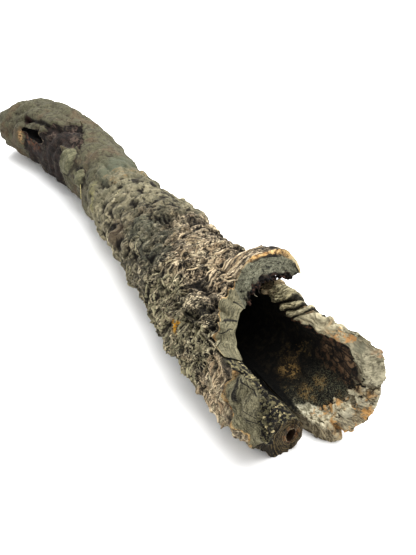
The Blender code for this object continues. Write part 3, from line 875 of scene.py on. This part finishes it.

# the insides of the two hollows painted dark as the shade in them, with a rusty ring round the roll's hollow
hollow_paint = specks.step(0.45, 0.6).between((14, 12, 11), (38, 29, 22))
hollow_paint = hollow_paint.tinted((84, 58, 36), (1 - (from_hollow + (flecks - 0.5) * 40).step(6, 24)) * 0.7)
sawn_arc = degrees.band(40, 202, 3)
bark_colour = outside.layered(
    (sawn, cut_face * sawn_arc),
    (torn, cut_face * (1 - sawn_arc)),
    (bore, in_bore),
    (hollow_paint, 1 - turned.step(0.1, 0.4)),  # the insides of the two hollows carry no marks
)
open_gaps = (gaps + fine_gaps) * near * (1 - in_bore) * (1 - cut_face)
bark_height = round_fibres * 0.5 + flecks * 0.6 + grit * 0.35 - open_gaps * 0.8
coat(bark, bark_look, bark_colour, 0.86 + 0.12 * grit, bark_height, 0.0011)
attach(bark, "root")
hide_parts("cork_bark_tube")


# Wrinkles of the outer bark: narrow strips that curl up off it and run round the tube, closest together
# at the mouth. They grew with the bark and are held by it all along.
WRINKLES_START, WRINKLES_END, WRINKLE_FROM_RIM = -0.002, 0.262, 0.003
WRINKLES_FROM_DEG, WRINKLES_TO_DEG = 62.0, 214.0
WRINKLE_STEP, WRINKLE_TURN = 0.0034, 8.5
WRINKLE_LENGTH, WRINKLE_WIDTH, WRINKLE_HEIGHT = (8.0, 21.0), (0.0016, 0.0036), (0.0008, 0.0019)
EDGES_SUNK = 0.0007  # how deep the strips' edges lie in the bark

chance = random.Random(8)
wrinkles = bmesh.new()
strip_mark = wrinkles.verts.layers.float_vector.new("strip")
turn_mark = wrinkles.verts.layers.float_vector.new("turn")
along_step = WRINKLES_START
while along_step < WRINKLES_END:
    along_step += WRINKLE_STEP * (1 + 0.6 * ramp(along_step, 0.12, 0.25))
    middle = WRINKLES_FROM_DEG + chance.uniform(0, WRINKLE_TURN)
    while middle < WRINKLES_TO_DEG:
        middle += WRINKLE_TURN * chance.uniform(0.7, 1.3)
        along = along_step + chance.uniform(-0.0015, 0.0015)
        rim = straight_between(MOUTH_RIM, middle, 1)
        patchy = noise.noise(Vector((middle / 24, along * 30, 1.7)))
        bald = -0.22 + 0.3 * ramp(along, 0.08, 0.2)
        thinned = ramp(along, 0.07, 0.17) * 0.9
        if along < rim + WRINKLE_FROM_RIM or patchy < bald or chance.random() < thinned:
            continue
        span = chance.uniform(*WRINKLE_LENGTH) * (1 - 0.25 * ramp(along, 0.1, 0.25))
        width = chance.uniform(*WRINKLE_WIDTH)
        high = chance.uniform(*WRINKLE_HEIGHT)
        lean = 0.016 * noise.noise(Vector((middle / 18, along * 45, 5.1))) + chance.uniform(-0.002, 0.002)
        bow = chance.uniform(-0.0022, 0.0022)
        tone = 0.45 + 0.7 * noise.noise(Vector((middle / 12, along * 80, 8.8))) + chance.uniform(-0.3, 0.3)
        tone = min(1.0, max(0.0, tone))
        strip = bmesh.ops.create_grid(wrinkles, x_segments=6, y_segments=2, size=0.5)
        for vertex in strip["verts"]:
            run, side = vertex.co.x, vertex.co.y
            taper = max(0.0, 1 - (2 * run) ** 4)
            degrees = middle + run * span
            reach = along + lean * run + bow * (1 - 4 * run * run) + side * width * (0.35 + 0.65 * taper)
            reach += 0.0007 * noise.noise(Vector((degrees / 3, along * 200, tone * 9)))
            top = 1.0 if abs(side) < 0.4 else 0.0
            uneven = 1 + 0.5 * noise.noise(Vector((degrees / 2.5, tone * 50, 0)))
            rise = high * top * taper * uneven - EDGES_SUNK * (1 - top * taper)
            angle = math.radians(degrees)
            vertex.co = wall_place(max(reach, rim + 0.001), degrees, 0.0)[0]
            vertex.co += Vector((math.cos(angle), -0.25, math.sin(angle))) * rise
            vertex[strip_mark] = (tone, top * taper, along * 10)
            vertex[turn_mark] = (degrees / 100, 0.0, 0.0)
keep_in_box(wrinkles)
bmesh.ops.recalc_face_normals(wrinkles, faces=wrinkles.faces)
tube_axis = [Vector((on_curve(SECTIONS, k / 100, 1), k / 100, 0.045)) + ORIGIN for k in range(-5, 30)]
for face in wrinkles.faces:
    middle = face.calc_center_median()
    nearest = min(tube_axis, key=lambda place: (place - middle).length)
    if face.normal.dot(middle - nearest) < 0:
        face.normal_flip()
wrinkle_strips = into_scene(wrinkles, "wrinkles")
smooth_but_for_edges(wrinkle_strips, 50)

strip_look, spot = start_material("bark_wrinkles")
tone, top, reach = spot.mark("strip")
degrees = spot.mark("turn")[0] * 100
along = reach * 100
blotch, mottle, _, flecks, grit = grains(spot)
fibre_lines = spot.scaled((1, 5, 1)).noise(260, 3.0, 0.65, 0.4)
strip_paint = tone.between((110, 107, 87), (184, 177, 149)).layered(
    (tone.between((150, 132, 109), (224, 208, 179)), weathering(degrees, along, mottle, blotch)[2]),
    ((34, 29, 23), fibre_lines.step(0.51, 0.6) * 0.75),
    ((206, 194, 168), (1 - flecks).step(0.56, 0.68) * 0.5),
    (GOLDEN_PAINT, spot.patch(*GOLDEN_SPOT, (flecks - 0.5) * 2.4, 0.4)),
    ((20, 16, 12), flecks.step(0.58, 0.66) * 0.7),
    # painted shade where the strips' edges sink into the bark
    ((22, 18, 14), (1 - top).step(0.25, 0.95) * 0.85),
)
coat(wrinkle_strips, strip_look, strip_paint, 0.86 + 0.12 * grit, fibre_lines * 0.7 + grit * 0.4, 0.0009)
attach(wrinkle_strips, "root")


# Crumbs of broken cork that cling where the bark tore: black ones along the lower edge of the flap, and
# black, grey and cream ones on the inner side of the lobe beside the roll.
FLAP_CRUMBS, LOBE_CRUMBS = 240, 520
FLAP_FROM_DEG, FLAP_ARC_DEG, LOBE_FROM_DEG, LOBE_ARC_DEG = 47.0, 40.0, 148.8, 56.0
CRUMB_SIZE, LOBE_CRUMB_GAIN = (0.0006, 0.0015), 1.25

chance = random.Random(21)
crumb_heap = bmesh.new()
crumb_mark = crumb_heap.verts.layers.float_vector.new("crumb")
for k in range(FLAP_CRUMBS + LOBE_CRUMBS):
    by_flap = k < FLAP_CRUMBS
    if by_flap:
        degrees = FLAP_FROM_DEG + FLAP_ARC_DEG * chance.random()
        depth = chance.uniform(0.93, 1.0)
        rim = distance_along(("mouth", 0.0, 1.0), degrees)[0]
        place = wall_place(rim + chance.uniform(-0.001, 0.004), degrees, 1.0)[0]
        angle = math.radians(degrees - 8)
        fall = chance.random() ** 1.6 * 0.0034 * hump(degrees, 58, 88, 12)
        place -= Vector((math.cos(angle) * 0.6, 0, math.sin(angle))) * fall
        place += Vector((0, -0.0006, 0))
        tone = chance.random() * 0.45
    else:
        degrees = LOBE_FROM_DEG + LOBE_ARC_DEG * chance.random() ** 0.9
        depth = chance.uniform(0.7, 1.0)
        rim = distance_along(("mouth", 0.0, depth), degrees)[0]
        if chance.random() < 0.5:
            depth, rim = 1.0, rim + chance.random() ** 1.5 * 0.014
        place = wall_place(rim, degrees, depth)[0]
        angle = math.radians(degrees)
        place -= Vector((math.cos(angle), 0.6, math.sin(angle))) * 0.0003
        tone = chance.random()
    size = chance.uniform(*CRUMB_SIZE) * (1.0 if by_flap else LOBE_CRUMB_GAIN)
    angle = chance.uniform(0, 6.3)
    turn = Matrix.Rotation(angle, 4, (chance.random(), chance.random(), chance.random() + 0.1))
    sizes = (size, size * chance.uniform(0.5, 0.9), size * chance.uniform(0.6, 1.3))
    seat = Matrix.Translation(place) @ turn @ Matrix.Diagonal(sizes).to_4x4()
    crumb = bmesh.ops.create_icosphere(crumb_heap, subdivisions=1, radius=1.0, matrix=seat)
    for vertex in crumb["verts"]:
        vertex[crumb_mark] = (tone, float(by_flap), 0.0)
keep_in_box(crumb_heap)
crumbs_lying = into_scene(crumb_heap, "crumbs")

crumb_look, spot = start_material("cork_crumbs")
tone, by_flap, _ = spot.mark("crumb")
flecks, grit = grains(spot)[3:]
crumb_paint = tone.step(0.25, 0.62).between((20, 17, 13), (86, 82, 62)).layered(
    ((158, 147, 115), tone.step(0.93, 0.96)),
    (tone.step(0.22, 0.44).between((15, 12, 11), (72, 52, 42)), by_flap),
    ((14, 11, 9), flecks.step(0.52, 0.64) * 0.7),
)
coat(crumbs_lying, crumb_look, crumb_paint, 0.88 + 0.1 * grit, grit, 0.0006)
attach(crumbs_lying, "root")


# The right-hand wall's top edge: the bark is torn there, and shows stumps of its layers in steps that
# get lower towards the mouth, then a smooth weathered edge. It is part of the same bark.
EDGE_OUTSIDE = (
    (-0.0435, 380.0),
    (-0.038, 391.0),
    (-0.034, 394.0),
    (-0.022, 397.5),
    (0.03, 401.0),
    (SLIT_END, 404.0),
)
EDGE_INSIDE = (
    (-0.035, 380.0),
    (-0.018, 391.0),
    (0.012, 394.0),
    (0.045, 397.5),
    (0.075, 401.0),
    (SLIT_END + 0.002, 404.0),
)
EDGE_FROM, EDGE_TO, EDGE_POINTS, EDGE_ACROSS = -0.03, 0.08, 230, 48
# Middle and half-length along the edge, height.
STUMPS = ((0.048, 0.0118, 0.005), (0.031, 0.0044, 0.0038), (0.0222, 0.0036, 0.0026))
STUMP_GAPS = (0.0356, 0.026, 0.018)
EVERY_WAY = {"use_axis_x": True, "use_axis_y": True, "use_axis_z": True}

edge = bmesh.new()
edge_mark = edge.verts.layers.float_vector.new("edge")
bmesh.ops.create_grid(edge, x_segments=EDGE_POINTS, y_segments=EDGE_ACROSS, size=0.5)
for vertex in edge.verts:
    along = EDGE_FROM + (EDGE_TO - EDGE_FROM) * (vertex.co.x + 0.5)
    across = vertex.co.y + 0.5
    outer, inner = straight_between(EDGE_OUTSIDE, along, 1), straight_between(EDGE_INSIDE, along, 1)
    over = min(1.0, max(0.0, (across - 0.4) / 0.38))
    angle = outer + (inner - outer) * over
    angle -= 12 * max(0.0, 1 - across / 0.4) + 7 * max(0.0, (across - 0.78) / 0.22)
    vertex.co = wall_place(along, angle, over)[0]
    vertex[edge_mark] = (across, along * 10, 0.0)
for _ in range(3):
    bmesh.ops.smooth_vert(edge, verts=edge.verts, factor=0.5, **EVERY_WAY)
edge.normal_update()
edge_middle = Vector((0.0, 0.03, 0.05)) + ORIGIN
outward_sign = 1.0 if sum((v.co - edge_middle).dot(v.normal) for v in edge.verts) > 0 else -1.0
for vertex in edge.verts:
    across, along, _ = vertex[edge_mark]
    along /= 10
    mm = vertex.co * 1000
    cover = hump(across, 0.12, 0.9, 0.11)
    cover *= ramp(along, EDGE_FROM, EDGE_FROM + 0.026) * ramp(along, EDGE_TO, EDGE_TO - 0.014)
    tilted = along - 0.028 * (across - 0.4) + 0.0012 * noise.noise(mm / 7)
    stump = 0.0
    for mid, half, high in STUMPS:
        stump += high * (0.6 - 0.4 * (tilted - mid) / half) * hump(tilted, mid - half, mid + half, 0.0007)
    ridge = waves(tilted, 0.0031, 2 * noise.noise(mm / 9)) * 0.00055 * ramp(along, 0.02, 0.034)
    lines = noise.noise(Vector((mm.x / 1.6, mm.y / 14, mm.z / 1.6))) * 0.0006 * ramp(along, 0.034, 0.02)
    rough = noise.fractal(mm / 5, 1.0, 2.0, 3) * 0.0007
    inner_tear = hump(across, 0.74, 0.92, 0.05) * terraced(noise.noise(mm / 6) * 2.2) * 0.0011
    broad = 0.001 + 0.0022 * ramp(across, 0.65, 0.3)
    gap = max(math.exp(-(((tilted - at) / broad) ** 2)) for at in STUMP_GAPS)
    gap *= hump(across, 0.05, 0.85, 0.1)
    fold = waves(tilted, 0.0046, 3 * noise.noise(mm / 11)) * 0.0009 * ramp(tilted, 0.046, 0.052)
    lift = stump * hump(across, 0.16, 0.76, 0.05) + ridge + fold + lines + rough + inner_tear - 0.003 * gap
    lift = cover * (0.0016 + lift) - 0.0022 * (1 - cover)
    vertex.co += vertex.normal * outward_sign * lift
    vertex[edge_mark] = (across, along * 10, gap)
keep_in_box(edge)
if outward_sign < 0:
    bmesh.ops.reverse_faces(edge, faces=edge.faces)
torn_edge = into_scene(edge, "torn_edge")
smooth_but_for_edges(torn_edge, 38)

edge_look, spot = start_material("weathered_edge")
across, reach, gap = spot.mark("edge")
along = reach * 100
_, mottle, specks, flecks, grit = grains(spot)
run_lines = (across * 16.0).beside(along * 0.06).noise(1.6, 4.0, 0.7, 0.4)
rusty = (across + (mottle - 0.5) * 0.5).band(0.42, 0.74, 0.06) * (1 - along.step(-12, 6))
ridges = spot.scaled((1, 3.6, 1)).noise(250, 2.0, 0.5, 0.5)
stump_paint = ridges.step(0.4, 0.58).between((74, 70, 54), (140, 133, 108)).layered(
    ((178, 160, 132), (along + (mottle - 0.5) * 14).step(52, 60) * 0.7),
    ((150, 144, 120), (1 - flecks).step(0.54, 0.66) * 0.6),
)
tear = (across + (specks - 0.5) * 0.16 + (mottle - 0.5) * 0.16).step(0.78, 0.82)
above_tear = (across + (specks - 0.5) * 0.1).band(0.74, 0.77, 0.02) * mottle.step(0.5, 0.6)
edge_paint = run_lines.step(0.3, 0.7).between((122, 116, 96), (176, 168, 144)).layered(
    ((96, 98, 84), mottle.step(0.52, 0.66) * 0.5),
    ((186, 140, 88), rusty * specks.step(0.44, 0.56) * 0.75),
    ((52, 46, 36), flecks.step(0.57, 0.68) * 0.6),
    (stump_paint, (along + (mottle - 0.5) * 14).step(22, 31)),
    # painted shadow: black in the gaps where the stumps step down
    ((14, 12, 9), (gap + (specks - 0.5) * 0.9).step(0.45, 0.85) * 0.9),
    (flecks.step(0.44, 0.6).between((24, 18, 14), (92, 66, 48)), tear),
    ((168, 128, 82), above_tear * (1 - along.step(14, 26)) * 0.7),
)
edge_height = ridges * 0.5 + flecks * 0.6 + grit * 0.4
coat(torn_edge, edge_look, edge_paint, 0.86 + 0.12 * grit, edge_height, 0.0010)
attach(torn_edge, "root")


# The broken lip of the scoop: the bark snapped off here and left a pale layer over the dark bore. It is
# torn back in uneven steps and cracked into plates along the rim. It is part of the same bark.
LIP_FROM, LIP_TO, LIP_POINTS, LIP_ACROSS = 286.0, 400.0, 260, 48
LIP_ON_BARK, LIP_INTO_BORE = 0.007, 0.026

lip_sheet = bmesh.new()
lip_mark = lip_sheet.verts.layers.float_vector.new("lip")
plate_mark = lip_sheet.verts.layers.float_vector.new("plate")
bmesh.ops.create_grid(lip_sheet, x_segments=LIP_POINTS, y_segments=LIP_ACROSS, size=0.5)
for vertex in lip_sheet.verts:
    degrees = LIP_FROM + (LIP_TO - LIP_FROM) * (vertex.co.x + 0.5)
    across = vertex.co.y + 0.5
    depth = min(1.0, max(0.0, (across - 0.2) / 0.2))
    rim = distance_along(("mouth", 0.0, depth), degrees)[0]
    rim += LIP_ON_BARK * max(0.0, 1 - across / 0.2) + LIP_INTO_BORE * max(0.0, (across - 0.4) / 0.6) ** 1.15
    vertex.co = wall_place(rim, degrees, depth)[0]
    vertex[lip_mark] = (across, degrees / 100, 0.0)
bmesh.ops.smooth_vert(lip_sheet, verts=lip_sheet.verts, factor=0.5, **EVERY_WAY)
lip_sheet.normal_update()
in_scoop = [v for v in lip_sheet.verts if v[lip_mark][0] > 0.5]
inward_sign = -1.0 if sum((v.co - edge_middle).dot(v.normal) for v in in_scoop) > 0 else 1.0
for vertex in lip_sheet.verts:
    across, degrees, _ = vertex[lip_mark]
    degrees *= 100
    mm = vertex.co * 1000
    reach = max(0.0, (across - 0.4) / 0.6)
    border = 0.34 + 0.3 * noise.noise(Vector((degrees / 17, 3.3, 0)))
    border += 0.26 * noise.noise(Vector((degrees / 4.5, 1.3, 0)))
    border += 0.16 * hump(degrees, 292, 340, 14) - 0.12 * ramp(degrees, 348, 362)
    thick = 1 - ramp(reach, border, border + 0.05)
    gaps, seeds = noise.voronoi(Vector((degrees / 12 + noise.noise(mm / 6), across * 3.4, 2.2)))
    split = 1 - ramp(gaps[1] - gaps[0], 0.01, 0.11)
    split *= ramp(noise.noise(seeds[0] * 5.1), -0.35, 0.1)
    plate = noise.noise(seeds[0] * 2.3)
    cover = hump(across, 0.1, 0.98, 0.06) * hump(degrees, LIP_FROM + 4, 380, 4 if degrees < 340 else 18)
    fine = noise.fractal(mm / 2.4, 1.0, 2.0, 3) * 0.0006
    torn = terraced(noise.noise(mm / 12) * 2.4) * 0.0012
    split *= 1 - 0.6 * ramp(degrees, 366, 378)
    cover *= thick
    lift = cover * (0.0015 + 0.0011 * plate - 0.0015 * split + fine + torn) - 0.0014 * (1 - cover)
    vertex.co += vertex.normal * inward_sign * lift
    vertex[lip_mark] = (across, degrees / 100, split)
    vertex[plate_mark] = (border - reach, plate, 0.0)
keep_in_box(lip_sheet)
if inward_sign < 0:
    bmesh.ops.reverse_faces(lip_sheet, faces=lip_sheet.faces)
broken_lip = into_scene(lip_sheet, "broken_lip")
smooth_but_for_edges(broken_lip, 38)

lip_look, spot = start_material("broken_lip")
across, turned, split = spot.mark("lip")
to_border, plate, _ = spot.mark("plate")
degrees = turned * 100
blotch, mottle, specks, flecks, grit = grains(spot)
torn_lines = (turned * 60.0).beside(across * 9.0).noise(1.3, 4.0, 0.75, 0.8)
white = flecks.step(0.46, 0.68).between((192, 185, 162), (124, 118, 97))
tan = flecks.step(0.38, 0.6).between((158, 138, 106), (72, 58, 42))
inner_paint = tan.tinted(white, degrees.band(288, 344, 8) * (0.45 + 0.55 * mottle.step(0.38, 0.5)))
top_lines = (torn_lines * 0.5 + specks * 0.5).step(0.4, 0.58)
stained = (blotch * 0.5 + mottle * 0.5).step(0.52, 0.58) * specks.step(0.44, 0.54)
by_border = to_border.band(-0.02, 0.05, 0.03) * across.step(0.42, 0.46) * mottle.step(0.48, 0.6)
calm = 1 - 0.75 * degrees.band(292, 330, 8)
lip_paint = torn_lines.step(0.4, 0.6).between((74, 66, 51), (152, 142, 118)).layered(
    ((168, 164, 146), plate.step(0.05, 0.3) * 0.6),
    (inner_paint, (across + (specks - 0.5) * 0.1).step(0.36, 0.44) * (1 - degrees.step(362, 372))),
    (top_lines.between((106, 102, 85), (162, 156, 135)), degrees.step(358, 370)),
    ((178, 138, 84), stained * degrees.band(308, 350, 10) * 0.8),
    ((134, 100, 64), by_border * 0.35),
    ((22, 17, 13), to_border.band(-0.3, -0.005, 0.02) * across.step(0.4, 0.44)),
    ((48, 40, 30), (flecks * 0.6 + mottle * 0.4).step(0.55, 0.61) * 0.6 * calm),
    # painted shade in the splits between the plates
    ((14, 11, 9), (split + (specks - 0.5) * 0.7).step(0.45, 0.75) * 0.92),
)
lip_height = torn_lines * 0.6 + flecks * 0.6 + grit * 0.4
coat(broken_lip, lip_look, lip_paint, 0.86 + 0.12 * grit, lip_height, 0.0010)
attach(broken_lip, "root")


# Loose ends: a fibre of bark that curls up near the flap, one that hangs under it, and a dry straw caught
# beside the knobs. Each one is a thin round thread: its points, thickness and colour.
CURLED_FIBRE = (
    (-24.0, 96.0, 82.5),
    (-26.5, 93.5, 85.0),
    (-26.0, 90.0, 87.5),
    (-22.5, 87.5, 88.5),
    (-19.5, 89.0, 88.0),
    (-19.5, 92.5, 86.5),
    (-22.0, 94.5, 85.0),
    (-24.0, 92.0, 84.5),
)
STRAW = ((-29.8, 328.0, 49.2), (-31.4, 323.0, 45.4), (-33.2, 318.0, 41.0), (-35.0, 313.5, 36.2))
HANGING_FIBRE = (
    (13.0, 57.5, 86.5),
    (10.0, 56.5, 83.0),
    (9.0, 56.0, 79.0),
    (10.0, 56.0, 75.0),
    (12.0, 55.5, 73.4),
)
DARK_FIBRE = ((16.0, 57.0, 84.5), (14.0, 56.5, 80.5), (13.0, 56.0, 77.5), (14.2, 56.0, 75.0))
LOOSE_ENDS = (
    (CURLED_FIBRE, 0.5, (188, 170, 138)),
    (STRAW, 0.5, (170, 160, 116)),
    (HANGING_FIBRE, 0.6, (150, 144, 126)),
    (DARK_FIBRE, 0.55, (70, 64, 56)),
)
THREAD_SIDES, THREAD_STEPS = 6, 5

threads = bmesh.new()
thread_mark = threads.verts.layers.float_vector.new("thread")
for places, thickness, colour in LOOSE_ENDS:
    joints = [Vector(place) / 1000 + ORIGIN for place in places]
    line = []
    for k in range((len(joints) - 1) * THREAD_STEPS + 1):
        i, part = divmod(k, THREAD_STEPS)
        i, part = (i, part / THREAD_STEPS) if i < len(joints) - 1 else (i - 1, 1.0)
        last = len(joints) - 1
        before, here, there, after = (joints[min(last, max(0, n))] for n in (i - 1, i, i + 1, i + 2))
        curve = 2 * here + (there - before) * part + (2 * before - 5 * here + 4 * there - after) * part**2
        line.append(0.5 * (curve + (3 * here - before - 3 * there + after) * part**3))
    rings = []
    for k, place in enumerate(line):
        run = (line[min(k + 1, len(line) - 1)] - line[max(k - 1, 0)]).normalized()
        side = run.cross(Vector((0.3, 0.2, 0.9))).normalized()
        half = thickness / 1000 * (1 - 0.55 * k / len(line))
        ring = []
        for n in range(THREAD_SIDES):
            turn = 2 * math.pi * n / THREAD_SIDES
            out = side * math.cos(turn) + run.cross(side) * math.sin(turn)
            ring.append(threads.verts.new(place + out * half))
            ring[-1][thread_mark] = tuple(value / 255 for value in colour)
        rings.append(ring)
    for ring, following in zip(rings, rings[1:]):
        for n in range(THREAD_SIDES):
            m = (n + 1) % THREAD_SIDES
            threads.faces.new((ring[n], ring[m], following[m], following[n]))
    threads.faces.new(reversed(rings[0]))
    threads.faces.new(rings[-1])
bmesh.ops.recalc_face_normals(threads, faces=threads.faces)
loose_ends = into_scene(threads, "loose_ends")
loose_ends.data.shade_smooth()

thread_look, spot = start_material("dry_fibre")
hue = spot.node("Attribute", {"attribute_name": "thread"}, {}, 1)
linear = hue.node("VectorMath", {"operation": "MULTIPLY"}, {0: hue, 1: hue})
grit = grains(spot)[-1]
thread_paint = linear.tinted((60, 50, 38), grit.step(0.5, 0.62) * 0.6)
coat(loose_ends, thread_look, thread_paint, 0.84 + 0.1 * grit, grit, 0.0003)
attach(loose_ends, "root")


# The floor: a plain white sheet under the tube, wide enough to fill the view from every side.
floor_grid = bmesh.new()
bmesh.ops.create_grid(floor_grid, x_segments=1, y_segments=1, size=6.0)
floor = into_scene(floor_grid, "floor")
floor_look = bpy.data.materials.new("white_floor")
floor_look.use_nodes = True
floor_sockets = floor_look.node_tree.nodes["Principled BSDF"].inputs
floor_sockets["Base Color"].default_value = (0.84, 0.84, 0.84, 1.0)
floor_sockets["Roughness"].default_value = 1.0
floor_sockets["Specular IOR Level"].default_value = 0.0
floor.data.materials.append(floor_look)

# Soft studio light: a white room, and one large lamp high on the right.
room = bpy.data.worlds.new("white_room")
bpy.context.scene.world = room
room.use_nodes = True
room.node_tree.nodes["Background"].inputs["Color"].default_value = (1.0, 1.0, 1.0, 1.0)
room.node_tree.nodes["Background"].inputs["Strength"].default_value = 1.08
lamp = bpy.data.lights.new("lamp", "AREA")
lamp.energy, lamp.shape, lamp.size = 31.0, "DISK", 1.9
lamp_stand = bpy.data.objects.new("lamp", lamp)
bpy.context.scene.collection.objects.link(lamp_stand)
lamp_stand.location = (0.42, 0.02, 1.35)
aim = Vector((0.0, -0.05, 0.04)) - lamp_stand.location
lamp_stand.rotation_euler = aim.to_track_quat("-Z", "Y").to_euler()

# The camera: above and left of the mouth, as in the photograph.
view = bpy.data.cameras.new("view")
view.lens, view.sensor_width = 50.0, 36.0
camera = bpy.data.objects.new("view", view)
bpy.context.scene.collection.objects.link(camera)
azimuth, fall = math.radians(26.81058614551133), math.radians(35.0)
ahead = Vector((math.sin(azimuth) * math.cos(fall), math.cos(azimuth) * math.cos(fall), -math.sin(fall)))
camera.location = (-0.214775782, -0.571315976, 0.401694580)
camera.rotation_euler = ahead.to_track_quat("-Z", "Y").to_euler()
bpy.context.scene.camera = camera
bpy.context.scene.view_settings.view_transform = "Standard"
bpy.context.scene.view_settings.look = "High Contrast"
